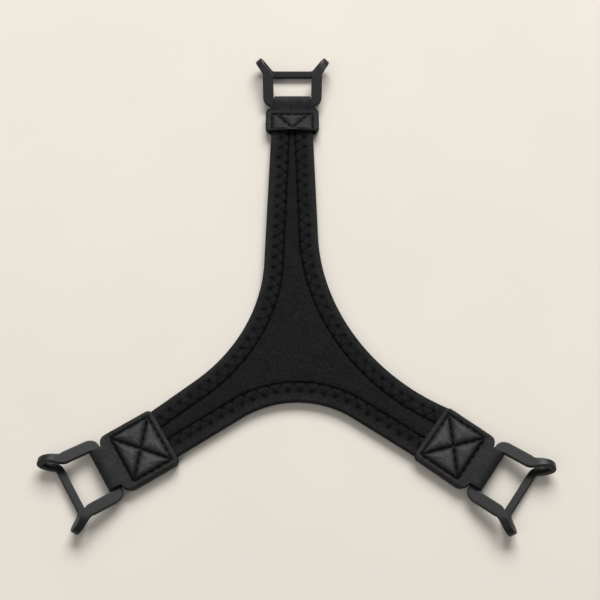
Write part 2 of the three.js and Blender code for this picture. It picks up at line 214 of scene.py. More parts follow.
def ripple(x, y, length, seed):
    """A smooth, uneven surface between about -1 and 1 whose waves are about `length` long."""
    draws = np.random.default_rng(seed)
    total = np.zeros_like(np.asarray(x, float) + np.asarray(y, float))
    waves = 7
    turns = draws.uniform(0, 2 * np.pi, waves)
    phases = draws.uniform(0, 2 * np.pi, waves)
    stretches = draws.uniform(0.6, 1.5, waves)
    for turn, phase, stretch in zip(turns, phases, stretches):
        travel = x * math.cos(turn) + y * math.sin(turn)
        total = total + np.sin(travel * 2 * np.pi / (length * stretch) + phase)
    return total / math.sqrt(waves * 2)


def grid_faces(rows, columns, closed_rows=False, closed_columns=False):
    faces = []
    for i in range(rows if closed_rows else rows - 1):
        for j in range(columns if closed_columns else columns - 1):
            k = (j + 1) % columns
            here, there = i * columns, ((i + 1) % rows) * columns
            faces.append((here + j, here + k, there + k, there + j))
    return faces


def loft_faces(rows, columns):
    """Faces of a skin over closed rings, with a flat cap at each end."""
    faces = grid_faces(rows, columns, closed_columns=True)
    faces.append(tuple(range(columns))[::-1])
    faces.append(tuple(range((rows - 1) * columns, rows * columns)))
    return faces


def closed_mesh(name, points, faces, lay=None, smooth=True):
    """A mesh from points in millimetres, with its faces turned outward."""
    mesh = bpy.data.meshes.new(name)
    mesh.from_pydata((np.asarray(points).reshape(-1, 3) * MM).tolist(), [], faces)
    if lay is not None:
        layer = mesh.attributes.new("lay", "FLOAT_VECTOR", "POINT")
        layer.data.foreach_set("vector", np.asarray(lay, np.float32).ravel())
    work = bmesh.new()
    work.from_mesh(mesh)
    bmesh.ops.recalc_face_normals(work, faces=work.faces)
    for face in work.faces:
        face.smooth = smooth and len(face.verts) <= 4
    work.to_mesh(mesh)
    work.free()
    return mesh


def add_object(name, data):
    """A new object in the scene."""
    made = bpy.data.objects.new(name, data)
    bpy.context.scene.collection.objects.link(made)
    return made


def make_piece(name, points, faces, material, body, stands_for, lay=None):
    """Makes a closed, smooth piece and lets it ride on a body."""
    mesh = closed_mesh(name, points, faces, lay)
    mesh.materials.append(material)
    piece = add_object(name, mesh)
    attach(piece, body)
    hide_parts(*stands_for)
    return piece


def tubes(paths, radius, sides=6):
    """Points and faces of one round thread along each path, thinned at its ends."""
    points, faces = [], []
    ring = np.linspace(0, 2 * np.pi, sides, endpoint=False)
    for path in paths:
        path = np.asarray(path, float)
        along = np.gradient(path, axis=0)
        along /= np.linalg.norm(along, axis=1, keepdims=True)
        side = np.cross(along, [0.0, 0.0, 1.0])
        side /= np.maximum(np.linalg.norm(side, axis=1, keepdims=True), 1e-6)
        up = np.cross(side, along)
        thick = np.full(len(path), radius)
        thick[0] = thick[-1] = radius * 0.45
        offset = side[:, None] * np.cos(ring)[None, :, None] + up[:, None] * np.sin(ring)[None, :, None]
        start = sum(len(p) for p in points)
        points.append((path[:, None] + offset * thick[:, None, None]).reshape(-1, 3))
        faces += [tuple(start + i for i in face) for face in loft_faces(len(path), sides)]
    return np.concatenate(points), faces


# ------------------------------------------------------------------------------ materials


def node(tree, kind, inputs=None, **settings):
    made = tree.nodes.new(kind)
    for key, value in settings.items():
        setattr(made, key, value)
    for key, value in (inputs or {}).items():
        if isinstance(value, bpy.types.NodeSocket):
            tree.links.new(value, made.inputs[key])
        else:
            made.inputs[key].default_value = value
    return made


def start_material(name):
    """A new material, its nodes, its shader and the place of each point, in metres."""
    material = bpy.data.materials.new(name)
    material.use_nodes = True
    tree = material.node_tree
    at = node(tree, "ShaderNodeTexCoord").outputs["Object"]
    return material, tree, tree.nodes["Principled BSDF"], at


def finish_material(tree, shader, colour, roughness, height, strength, depth):
    """Links a look's colour, roughness and relief, whose depth is in millimetres."""
    relief = node(
        tree, "ShaderNodeBump", {"Strength": strength, "Distance": depth * MM, "Height": height})
    tree.links.new(colour, shader.inputs["Base Color"])
    tree.links.new(roughness, shader.inputs["Roughness"])
    tree.links.new(relief.outputs[0], shader.inputs["Normal"])


def lay_parts(tree):
    """The three parts of `lay`: along, across, and a third part that is painted shade on the cloth,
    painted light and shade on the tabs, and edge wear on the steel.
    """
    lay = node(tree, "ShaderNodeAttribute", attribute_name="lay").outputs["Vector"]
    return lay, node(tree, "ShaderNodeSeparateXYZ", {"Vector": lay}).outputs


def place_noise(tree, source, scale, detail=2.0, rough=0.6, stretch=(1, 1, 1)):
    """Noise whose grains are 1/scale millimetres, from coordinates in metres."""
    size = [s * scale / MM for s in stretch]
    mapping = node(tree, "ShaderNodeMapping", {"Vector": source, "Scale": size})
    return node(
        tree, "ShaderNodeTexNoise",
        {"Vector": mapping.outputs[0], "Scale": 1.0, "Detail": detail, "Roughness": rough},
    ).outputs["Fac"]


def spread(tree, value, low, high, from_low=0.3, from_high=0.7):
    """A value moved from one range to another; most noise lies between 0.3 and 0.7."""
    return node(
        tree, "ShaderNodeMapRange",
        {"Value": value, "From Min": from_low, "From Max": from_high, "To Min": low, "To Max": high},
    ).outputs[0]


def times(tree, first, second):
    return node(tree, "ShaderNodeMath", {0: first, 1: second}, operation="MULTIPLY").outputs[0]


def plus(tree, first, second):
    return node(tree, "ShaderNodeMath", {0: first, 1: second}, operation="ADD").outputs[0]


def shaded(tree, colour, factor):
    """The colour, made lighter or darker by a factor that varies over the surface."""
    made = node(tree, "ShaderNodeVectorMath", {0: (*colour,), "Scale": factor}, operation="SCALE")
    return made.outputs[0]


def cloth_material(name, colour, ribbed):
    """Brushed knit: fine grain, soft patches, and ribs across a folded edge.

    Along the seams, dimples and puckers it is darker by the third part of `lay`: painted shade, with a
    little of the flattened pile's own darkening.
    """
    material, tree, shader, at = start_material(name)
    lay, parts = lay_parts(tree)
    grain = place_noise(tree, at, 1.25, detail=4, rough=0.8)
    patches = place_noise(tree, at, 0.16, detail=3)
    streaks = place_noise(tree, at, 1.0, detail=2, stretch=(1.5, 0.6, 1))
    value = plus(tree, times(tree, grain, 0.7), times(tree, streaks, 0.3))
    height = value
    if ribbed:
        wobble = node(tree, "ShaderNodeMapping", {"Vector": lay, "Scale": (1.0, 0.08, 1.0)})
        ribs = node(
            tree, "ShaderNodeTexWave",
            {"Vector": wobble.outputs[0], "Scale": 0.52, "Distortion": 1.6,
             "Detail": 2.0, "Detail Scale": 1.2},
            wave_type="BANDS", bands_direction="X",
        ).outputs["Fac"]
        value = plus(tree, times(tree, value, 0.72), times(tree, ribs, 0.28))
        height = plus(tree, times(tree, grain, 0.6), times(tree, ribs, 0.5))
    factor = times(tree, spread(tree, value, 0.0, 2.0), spread(tree, patches, 0.88, 1.12))
    # Painted shade along the seams, dimples and puckers, from the third part of `lay`.
    factor = times(tree, factor, spread(tree, parts["Z"], 1.0, 0.08, 0.0, 1.0))
    if ribbed:
        # Lighter towards the rim: painted sheen where the rounded edge's fibres catch the light, on top
        # of the binding's slightly lighter colour.
        factor = times(tree, factor, spread(tree, parts["Y"], 1.75, 1.12, 1.2, 4.2))
    roughness = spread(tree, grain, 0.82, 0.97)
    finish_material(tree, shader, shaded(tree, colour, factor), roughness, height, 0.9, 0.10)
    shader.inputs["Specular IOR Level"].default_value = 0.05
    shader.inputs["Sheen Weight"].default_value = 0.012
    shader.inputs["Sheen Roughness"].default_value = 0.5
    return material


def tab_material(name, colour):
    """Soft matte cloth with a faint leather-like grain and mottling, lit and shaded by painted light
    from the third part of `lay`.
    """
    material, tree, shader, at = start_material(name)
    mapping = node(tree, "ShaderNodeMapping", {"Vector": at, "Scale": [1.5 / MM] * 3})
    cells = node(
        tree, "ShaderNodeTexVoronoi", {"Vector": mapping.outputs[0], "Scale": 1.0, "Smoothness": 0.4},
        feature="SMOOTH_F1",
    ).outputs["Distance"]
    grain = place_noise(tree, at, 1.3, detail=4, rough=0.8)
    patches = place_noise(tree, at, 0.22, detail=3)
    _, parts = lay_parts(tree)
    factor = times(tree, spread(tree, grain, 0.35, 1.65), spread(tree, patches, 0.8, 1.2))
    # Painted light and shade of the quilting, from the third part of `lay`.
    factor = times(tree, factor, spread(tree, parts["Z"], 0.1, 2.2, 0.0, 1.0))
    height = plus(tree, times(tree, cells, 0.5), times(tree, grain, 0.7))
    roughness = spread(tree, grain, 0.52, 0.70)
    finish_material(tree, shader, shaded(tree, colour, factor), roughness, height, 0.55, 0.08)
    shader.inputs["Specular IOR Level"].default_value = 0.1
    return material


def thread_material(name, colour):
    """Twisted sewing thread."""
    material, tree, shader, at = start_material(name)
    mapping = node(tree, "ShaderNodeMapping", {"Vector": at, "Scale": [1.6 / MM] * 3})
    twist = node(
        tree, "ShaderNodeTexWave", {"Vector": mapping.outputs[0], "Scale": 0.6, "Distortion": 0.8},
        wave_type="BANDS", bands_direction="DIAGONAL",
    ).outputs["Fac"]
    strands = shaded(tree, colour, spread(tree, twist, 0.6, 1.5, 0.0, 1.0))
    roughness = spread(tree, twist, 0.66, 0.8, 0.0, 1.0)
    finish_material(tree, shader, strands, roughness, twist, 0.6, 0.06)
    shader.inputs["Specular IOR Level"].default_value = 0.06
    return material


def steel_material(name, colour):
    """Satin black coating with a fine orange-peel skin, rubbed lighter along the strip's edges."""
    material, tree, shader, at = start_material(name)
    peel = place_noise(tree, at, 1.4, detail=2)
    cloud = place_noise(tree, at, 0.12, detail=4)
    scuffs = place_noise(tree, at, 0.9, detail=4, rough=0.75)
    _, parts = lay_parts(tree)
    worn = times(tree, parts["Z"], spread(tree, scuffs, 0.0, 1.0, 0.48, 0.66))
    factor = plus(tree, spread(tree, cloud, 0.85, 1.15), times(tree, worn, 1.6))
    roughness = spread(tree, scuffs, 0.38, 0.50)
    finish_material(tree, shader, shaded(tree, colour, factor), roughness, peel, 0.25, 0.04)
    shader.inputs["Specular IOR Level"].default_value = 0.36
    return material


def stage_material(name, colour):
    """Plain matt paper."""
    material, tree, shader, at = start_material(name)
    soft = place_noise(tree, at, 0.01, detail=2)
    tree.links.new(shaded(tree, colour, spread(tree, soft, 0.985, 1.015)), shader.inputs["Base Color"])
    shader.inputs["Roughness"].default_value = 0.95
    shader.inputs["Specular IOR Level"].default_value = 0.0
    return material


def shared(name, maker, *args):
    """A look by name, made the first time it is asked for."""
    name = f"yoke_{name}"
    return bpy.data.materials.get(name) or maker(name, *args)


# --------------------------------------------------------------------------- cloth shapes


class CurvedEdge:
    """One edge of the yoke: two straight runs joined by an arc, with the cloth on its outside."""

    def __init__(self, name):
        spec = EDGES[name]
        self.name = name
        self.radius = spec["radius"]
        self.arms = [ARMS[arm] for arm in spec["arms"]]
        self.first, self.second = (heading(run) for run in spec["runs"])
        middle = self.first + self.second
        self.bisector = middle / np.linalg.norm(middle)
        self.half = math.acos(self.bisector @ self.first)
        self.corner = np.array(spec["corner"]) + PLACE
        self.centre = self.corner + self.bisector * self.radius / math.sin(self.half)
        entry = self.corner + self.first * self.radius / math.tan(self.half)
        leave = self.corner + self.second * self.radius / math.tan(self.half)
        self.entry, self.leave = entry, leave
        self.start = math.atan2(*(entry - self.centre)[::-1])
        self.sweep = math.pi - 2 * self.half
        self.normals = [(entry - self.centre) / self.radius, (leave - self.centre) / self.radius]

    def meet(self, point, direction, arm):
        """Where a straight run from a point ends, a little way under its arm's tab."""
        along = heading(arm["bearing"])
        end = np.array(arm["loop"]) + PLACE + along * (TUCK - arm["length"])
        return point + direction * ((end - point) @ along) / (direction @ along)

    def ends(self, inset):
        """The four ends of the straight runs of the edge moved `inset` into the cloth."""
        entry, leave = (self.centre + normal * (self.radius + inset) for normal in self.normals)
        head = self.meet(entry, self.first, self.arms[0])
        tail = self.meet(leave, self.second, self.arms[1])
        return head, entry, leave, tail

    def line(self, inset, counts):
        """The edge moved `inset` into the cloth, as counts of points per run, arc and run."""
        head, entry, leave, tail = self.ends(inset)
        share = [np.linspace(0, 1, count, endpoint=False)[:, None] for count in counts]
        angles = self.start - self.sweep * share[1]
        arc = self.centre + (self.radius + inset) * np.hstack([np.cos(angles), np.sin(angles)])
        before = head + (entry - head) * share[0]
        after = leave + (tail - leave) * share[2]
        return np.vstack([before, arc, after, tail[None]])

    def counts(self, step):
        """How many points each run and the arc need, about a step apart on the outer row."""
        head, entry, leave, tail = self.ends(OUTER_ROW)
        arc = (self.radius + OUTER_ROW) * self.sweep
        lengths = [np.linalg.norm(head - entry), arc, np.linalg.norm(tail - leave)]
        return [max(2, round(length / step)) for length in lengths]

    def grid(self, insets, step):
        """Points as rows along the edge and columns at the insets, and each row's run."""
        counts = self.counts(step)
        points = np.stack([self.line(inset, counts) for inset in insets], axis=1)
        row = self.line(OUTER_ROW, counts)
        run = np.concatenate([[0], np.cumsum(np.linalg.norm(np.diff(row, axis=0), axis=1))])
        return points, run

    def inset_of(self, points):
        """How far inside this edge each point is."""
        ends = zip((self.entry, self.leave), self.normals)
        flat = [(points - base) @ normal for base, normal in ends]
        before = (points - self.entry) @ self.first > 0
        after = (points - self.leave) @ self.second > 0
        curved = np.linalg.norm(points - self.centre, axis=1) - self.radius
        return np.where(before, flat[0], np.where(after, flat[1], curved))


def edge_round(inset, height):
    """Half the edge's thickness at an inset: a full round that flattens within 1.1 mm."""
    share = np.clip(1 - inset / 1.1, 0, 1)
    return height / 2 * (1 - share**2.6) ** (1 / 2.6)


def stitch_gap(run, shift=0.0):
    """Signed distance along the seam to the nearest stitch hole, and that hole's number."""
    phase = run / EDGE_PITCH - shift
    hole = np.round(phase)
    return (phase - hole) * EDGE_PITCH, hole.astype(int)


def uneven(hole, seed, low, high):
    """A steady random number for each stitch hole."""
    table = np.random.default_rng(seed).uniform(low, high, 256)
    return table[np.mod(hole, 256)]


def edge_seam_shade(run, inset, seed):
    """Painted shade from the seams, 0 to 1: dark in the stitch dimples, the inner seam's groove and
    knots, and the puckers beside the outer row, with a little of the flattened pile's own darkening.
    """
    gap, hole = stitch_gap(run)
    row = OUTER_ROW + uneven(hole, seed, -0.25, 0.25)
    skew = gap + (inset - row) * uneven(hole, seed + 2, -0.5, 0.5)
    dimple = uneven(hole, seed + 4, 0.6, 1.0) * bump_at(skew, 1.05) * bump_at(inset - row, 1.15)
    inner_gap, inner_hole = stitch_gap(run, 0.5)
    knot = uneven(inner_hole, seed + 5, 0.6, 1.0) * bump_at(inner_gap, 0.8)
    knot = knot * bump_at(inset - INNER_ROW, 1.4)
    wander = SEAM_AT + uneven(inner_hole, seed + 6, -0.2, 0.2) * (1 - bump_at(inner_gap, 1.2))
    seam = (0.56 + 0.30 * np.sin(run * 1.7)) * bump_at(inset - wander, 0.42)
    pucker = 0.38 * bump_at(skew, 1.7) * bump_at(inset - row - 1.0, 1.9)
    return np.clip(np.maximum(np.maximum(dimple, knot), np.maximum(seam, pucker)), 0, 1)


def edge_top(run, inset, xy, settings, seed):
    """Height of the folded edge cloth, with its seams, dimples and pulled threads."""
    height = settings.edge_height / MM
    z = height / 2 + edge_round(inset, height)
    gap, hole = stitch_gap(run)
    row = OUTER_ROW + uneven(hole, seed, -0.25, 0.25)
    depth = settings.dimple_depth / MM * uneven(hole, seed + 1, 0.65, 1.25)
    skew = gap + (inset - row) * uneven(hole, seed + 2, -0.5, 0.5)
    z = z - depth * bump_at(skew, 0.62) * bump_at(inset - row, 0.95)
    z = z - 0.10 * bump_at(inset - OUTER_ROW, 0.45)
    outward = np.clip((OUTER_ROW - inset) / OUTER_ROW, 0, 1) * (inset > 1.0)
    z = z - 0.08 * bump_at(gap, 0.5) * outward
    share = np.clip((inset - OUTER_ROW) / (INNER_ROW - OUTER_ROW), 0, 1)
    between = np.sin(np.pi * share)
    z = z + 0.20 * between + 0.10 * np.sin(np.pi * np.clip((inset - 0.8) / 3.2, 0, 1))
    for lean in (-0.5, 0.5):
        pulled = np.abs(gap - lean * share * EDGE_PITCH)
        pulled = np.minimum(pulled, EDGE_PITCH - pulled)
        z = z - 0.17 * bump_at(pulled, 0.42) * np.clip(between * 2, 0, 1)
    inner_gap, inner_hole = stitch_gap(run, 0.5)
    inner_depth = uneven(inner_hole, seed + 3, 0.20, 0.50)
    z = z - settings.seam_depth / MM * bump_at(inset - SEAM_AT, 0.42)
    z = z - inner_depth * bump_at(inner_gap, 0.6) * bump_at(inset - INNER_ROW, 0.75)
    quiet = np.clip((inset - 0.3) / 1.5, 0, 1)
    x, y = xy[..., 0], xy[..., 1]
    return z + quiet * (0.07 * ripple(x, y, 9, 11) + 0.035 * ripple(x, y, 2.6, 12))


def make_edge(edge, settings, material, seed):
    """One folded edge: insets over the top, back along the bottom, and round the inside."""
    top = np.array([
        9.6, 9.48, 9.36, 9.22, 9.05, 8.85, 8.6, 8.25, 7.85, 7.4, 6.95, 6.5, 6.1, 5.75, 5.45, 5.2,
        5.0, 4.8, 4.6, 4.35, 4.05, 3.7, 3.3, 2.8, 2.3, 1.8, 1.4, 1.05, 0.75, 0.5, 0.28, 0.12, 0.03, 0.0,
    ])
    bottom = np.array([0.02, 0.1, 0.25, 0.5, 0.8, 1.2, 2.2, 3.6, 4.9, 6.2, 7.8, 9.7])
    inside = [(9.7, 0.5), (1.3, 0.5), (0.8, 1.2), (0.7, 2.1), (0.8, 2.9), (1.3, 3.1), (9.6, 3.1)]
    insets = np.concatenate([top, bottom, [inset for inset, _ in inside]])
    points, run = edge.grid(insets, 0.5)
    height = settings.edge_height / MM
    runs = np.repeat(run[:, None], len(insets), axis=1)
    z = np.zeros(points.shape[:2])
    count = len(top)
    top_runs = runs[:, :count]
    top_insets = np.broadcast_to(top, (len(run), count))
    z[:, :count] = edge_top(top_runs, top_insets, points[:, :count], settings, seed)
    z[:, count:count + len(bottom)] = height / 2 - edge_round(bottom, height)
    z[:, count + len(bottom):] = [level for _, level in inside]
    solid = np.dstack([points, z])
    # Painted shade of the seams and dimples, carried as the third part of `lay`.
    seam_shade = np.zeros_like(runs)
    seam_shade[:, :count] = edge_seam_shade(top_runs, top_insets, seed)
    lay = np.dstack([runs, np.broadcast_to(insets, runs.shape), seam_shade])
    return make_piece(
        f"{edge.name}_edge_cloth", solid, loft_faces(*runs.shape), material, "yoke",
        [f"{edge.name}_binding"], lay,
    )


def panel_height(xy, inset, settings):
    """Height of the face cloth, which rises from its seam to a low crown."""
    rise = 1 - np.exp(-np.clip(inset - SEAM_AT, 0, None) / 0.55)
    crown = 1 - np.exp(-np.clip(inset - SEAM_AT, 0, None) / 6)
    base = settings.edge_height / MM - settings.seam_depth / MM
    waves = 0.05 * ripple(xy[:, 0], xy[:, 1], 17, 21) + 0.03 * ripple(xy[:, 0], xy[:, 1], 6, 22)
    return base + 0.50 * rise + settings.panel_crown / MM * crown + waves * rise


def make_panel(edges, settings, material):
    """The face cloth: a fine triangle net inside the three inner seams, closed below."""
    border = np.vstack([edge.grid([SEAM_AT], 0.9)[0][:, 0] for edge in edges])
    count = len(border)
    pitch = 1.15
    low, high = border.min(0), border.max(0)
    columns = np.arange(low[0], high[0], pitch)
    rows = np.arange(low[1], high[1], pitch * math.sqrt(3) / 2)
    x, y = np.meshgrid(columns, rows)
    x = x + (np.arange(len(rows)) % 2)[:, None] * pitch / 2
    loose = np.column_stack([x.ravel(), y.ravel()])
    depth = np.min([edge.inset_of(loose) for edge in edges], axis=0)
    inside = depth > SEAM_AT + 0.45
    for arm in ARMS.values():
        along = heading(arm["bearing"])
        station = (loose - np.array(arm["loop"]) - PLACE) @ along
        inside &= station < TUCK - arm["length"] - 0.4
    flat = [Vector(p) for p in np.vstack([border, loose[inside]])]
    ring = [(i, (i + 1) % count) for i in range(count)]
    verts, _, triangles, *_ = delaunay_2d_cdt(flat, ring, [list(range(count))], 1, 1e-5)
    xy = np.array([tuple(v) for v in verts])
    inset = np.min([edge.inset_of(xy) for edge in edges], axis=0)
    top = np.column_stack([xy, panel_height(xy, inset, settings)])
    under = np.column_stack([xy, np.full(len(xy), PANEL_LOW - 0.35)])
    size = len(xy)
    sides = {}
    for triangle in triangles:
        for a, b in zip(triangle, triangle[1:] + triangle[:1]):
            sides[(a, b)] = True
    rim = [(a, b) for a, b in sides if (b, a) not in sides]
    faces = [tuple(t) for t in triangles] + [tuple(i + size for i in reversed(t)) for t in triangles]
    faces += [(b, a, a + size, b + size) for a, b in rim]
    # Painted shade in the seam's groove along the face cloth's border.
    seam_shade = 0.9 * bump_at(inset - SEAM_AT, 0.45)
    lay = np.column_stack([np.vstack([xy, xy]), np.concatenate([seam_shade, seam_shade])])
    piece = make_piece(
        "face_cloth", np.vstack([top, under]), faces, material, "yoke",
        ["front_panel"], lay,
    )
    return piece


# -------------------------------------------------------------------------- edge stitching


def seam_points(run, line, spots, insets):
    """Points on an edge at runs `spots` and insets `insets`, from its two seam lines."""
    rows = []
    for row in (0, 1):
        rows.append(np.column_stack([np.interp(spots, run, line[:, row, axis]) for axis in (0, 1)]))
    share = (np.asarray(insets) - OUTER_ROW) / (INNER_ROW - OUTER_ROW)
    return rows[0] + (rows[1] - rows[0]) * share[:, None]


def on_cloth(run, line, spots, insets, settings, seed, lift):
    """Points of a thread that lies `lift` over the cloth, along one of its seams."""
    xy = seam_points(run, line, spots, insets)
    z = edge_top(spots, insets, xy, settings, seed)
    return np.column_stack([xy, z + lift])


def make_seams(edge, cloth, threads, seed):
    """Outer row, inner row and the zigzag between them, stitch by stitch."""
    line, run = edge.grid([OUTER_ROW, INNER_ROW], 0.5)
    radius = threads.thread_radius / MM
    colour = threads.thread_colour
    dark = shared("sewing_thread", thread_material, colour)
    cover = shared("cover_thread", thread_material, [c * 1.5 for c in colour])
    holes = np.arange(1, int((run[-1] - 1) / EDGE_PITCH) + 1)
    outer, inner, cross = [], [], []
    share = np.linspace(0, 1, 9)
    dive = np.array([-0.45, -0.12, 0.1, 0.16, 0.18, 0.16, 0.1, -0.12, -0.45])
    for hole in holes:
        spot = hole * EDGE_PITCH
        row = OUTER_ROW + float(uneven(np.array(hole), seed, -0.25, 0.25))
        lean = float(uneven(np.array(hole), seed + 2, -0.5, 0.5))
        reach = 0.85
        path_run = spot + (share - 0.5) * reach * 1.1
        path_inset = row + (share - 0.5) * reach * (1.5 + lean)
        outer.append(on_cloth(run, line, path_run, path_inset, cloth, seed, dive * 0.7))
        middle = (hole - 0.5) * EDGE_PITCH
        if middle + EDGE_PITCH < run[-1]:
            path_run = middle + 0.25 + share * (EDGE_PITCH - 0.5)
            path_inset = np.full(len(share), INNER_ROW + 0.12)
            inner.append(on_cloth(run, line, path_run, path_inset, cloth, seed, dive))
        tick_run = middle + 0.3 * lean + share * lean
        tick_inset = INNER_ROW - 1.1 + share * 2.3
        tick = on_cloth(run, line, tick_run, tick_inset, cloth, seed, 0)
        tick[:, 2] = cloth.edge_height / MM - 0.25 + 0.5 * np.sin(np.pi * share)
        inner.append(tick)
        for side in (-0.5, 0.5):
            end = spot + side * EDGE_PITCH
            if 0 < end < run[-1]:
                path_run = spot + (end - spot) * share
                path_inset = row + (INNER_ROW - row) * share
                cross.append(on_cloth(run, line, path_run, path_inset, cloth, seed, dive * 0.55))
    for part, paths, thick, material in (
        ("outer", outer, radius * 1.15, dark),
        ("inner", inner, radius * 1.25, dark),
        ("cover", cross, radius * 0.8, cover),
    ):
        points, faces = tubes(paths, thick)
        name = f"{edge.name}_{part}_stitches"
        make_piece(name, points, faces, material, "yoke", [f"{edge.name}_{part}_thread"])


# -------------------------------------------------------------------------------- tabs


def arm_to_frame(arm, points):
    """Turns points from an arm's own axes, outward, left and up, into the frame's."""
    along = heading(arm["bearing"])
    left = np.array([-along[1], along[0]])
    xy = PLACE + np.array(arm["loop"]) + points[..., :1] * along + points[..., 1:2] * left
    return np.concatenate([xy, points[..., 2:3]], axis=-1)


def stitch_lines(arm):
    """The tab's straight stitch lines: a crossed box, or on the short tab a V in an open box."""
    near = BOX_START
    if arm["stitch"] == "point":
        w, far = POINT_HALF, near - POINT_DEPTH
        tip = (far + 0.6, 0)
        return [
            ((near, -w), (near, w)), ((near, -w), (far, -w)), ((near, w), (far, w)),
            ((near, -POINT_TOP_HALF), tip), ((near, POINT_TOP_HALF), tip),
        ]
    w, far = BOX_HALF, BOX_MARGIN - arm["length"]
    corners = [(near, -w), (near, w), (far, w), (far, -w)]
    sides = [(corners[i], corners[(i + 1) % 4]) for i in range(4)]
    return sides + [(corners[0], corners[2]), (corners[1], corners[3])]


def to_lines(u, v, lines):
    """Distance to the nearest stitch line, and how far along it that is."""
    nearest = np.full(np.shape(u), 1e9)
    run = np.zeros(np.shape(u))
    for (u0, v0), (u1, v1) in lines:
        length = math.hypot(u1 - u0, v1 - v0)
        share = np.clip(((u - u0) * (u1 - u0) + (v - v0) * (v1 - v0)) / length**2, 0, 1)
        away = np.hypot(u - u0 - share * (u1 - u0), v - v0 - share * (v1 - v0))
        closer = away < nearest
        nearest = np.where(closer, away, nearest)
        run = np.where(closer, share * length, run)
    return nearest, run


def fold_top(u):
    """Height of the tab's upper face over the loop bar and down to the flat border."""
    t = np.linspace(0, 1, 60)
    curve_u = 3 * t * (1 - t) ** 2 * -3 + 3 * t**2 * (1 - t) * -4.6 + t**3 * FOLD_SLOPE_END
    early = (1 - t) ** 3 + 3 * t * (1 - t) ** 2
    curve_z = 2 * FOLD_RADIUS * early + TAB_TOP * (1 - early)
    slope = np.interp(-u, -curve_u, curve_z)
    front = FOLD_RADIUS + np.sqrt(np.clip(FOLD_RADIUS**2 - np.clip(u, 0, None) ** 2, 0, None))
    return np.where(u > 0, front, slope)


def tab_half_width(arm, u):
    """Half the tab's width, with rounded inner corners and shoulders at the neck."""
    back = u + arm["length"]
    corner = 2.4
    cut_in = np.clip(corner - back, 0, corner)
    rounded = arm["half"] - corner + np.sqrt(np.clip(corner**2 - cut_in**2, 0, None))
    shoulder = SHOULDERS[arm["stitch"]]
    drop = np.interp(u, [station for station, _ in shoulder], [narrower for _, narrower in shoulder])
    return rounded - drop * (arm["half"] - arm["side_bar"] + NECK_INSET)


def tab_top(arm, u, v, settings):
    """Height of the tab's upper face, and its painted light from 0 to 1: lighter on the quilted fields,
    painted shade along the stitch lines and beside them.
    """
    pointed = arm["stitch"] == "point"
    away, run = to_lines(u, v, stitch_lines(arm))
    puff = settings.quilt_height / MM * (POINT_QUILT if pointed else 1)
    groove = settings.groove_depth / MM
    half = POINT_HALF if pointed else BOX_HALF
    far = BOX_START - POINT_DEPTH if pointed else BOX_MARGIN - arm["length"]
    line_width = 0.46 if pointed else 0.62
    base = fold_top(u) - TAB_TOP + settings.border_height / MM
    in_box = (np.abs(v) < half) & (u < BOX_START) & (u > far)
    rise = np.sin(np.clip(away / 4.4, 0, 1) * np.pi / 2) ** 0.85
    z = base + np.where(in_box, puff * rise - 0.25 * (1 - rise), 0)
    outside = np.clip(away / 1.6, 0, 1)
    z = z + np.where(in_box, 0, 0.22 * np.sin(outside * np.pi / 2) - 0.22)
    pulls = 0.85 - 0.15 * np.cos(run * 2 * np.pi / TAB_PITCH)
    z = z - groove * pulls * bump_at(away, line_width)
    if pointed:
        lift = np.clip((BOX_START - 3.0 - u) / 7.0, 0, 1)
        z = z + lift**1.5 * (0.5 + 0.9 * np.cos(np.clip(v / half, -1, 1) * np.pi / 2))
    else:
        tail = np.clip((far - u) / BOX_MARGIN, 0, 1)
        z = z - 0.45 * tail**1.3
    smooth = np.clip((u + 8.5) / 4, 0, 1)
    z = z + (1 - smooth) * (0.10 * ripple(u, v, 6.5, 31) + 0.05 * ripple(u, v, 2.4, 32))
    z = z + smooth * np.clip(3.0 - u, 0, 1) * 0.06 * ripple(u * 0.5, v, 4.5, 33)
    # Painted light on the quilted fields, with painted shade near the stitch lines and along the box's
    # hook-side line.
    if pointed:
        field = 0.37 + 0.07 * np.clip(away / 2.4, 0, 1)
    else:
        field = 0.2 + 0.8 * np.clip(away / 2.4, 0, 1)
        field = field * (1 - 0.65 * bump_at(BOX_START - u, 2.4))
    # Painted shade on the border and neck, darker right beside the lines.
    border_shade = np.where(u > BOX_START + 0.6, 0.24, 0.29) + 0.10 * outside
    painted_light = np.where(in_box, field, border_shade)
    # Painted shade in the stitch grooves, darkest along each stitch.
    groove_shade = 0.45 - 0.38 * np.cos(run * 2 * np.pi / TAB_PITCH)
    painted_light = painted_light * (1 - groove_shade * bump_at(away, np.where(in_box, line_width, 0.42)))
    return z, painted_light


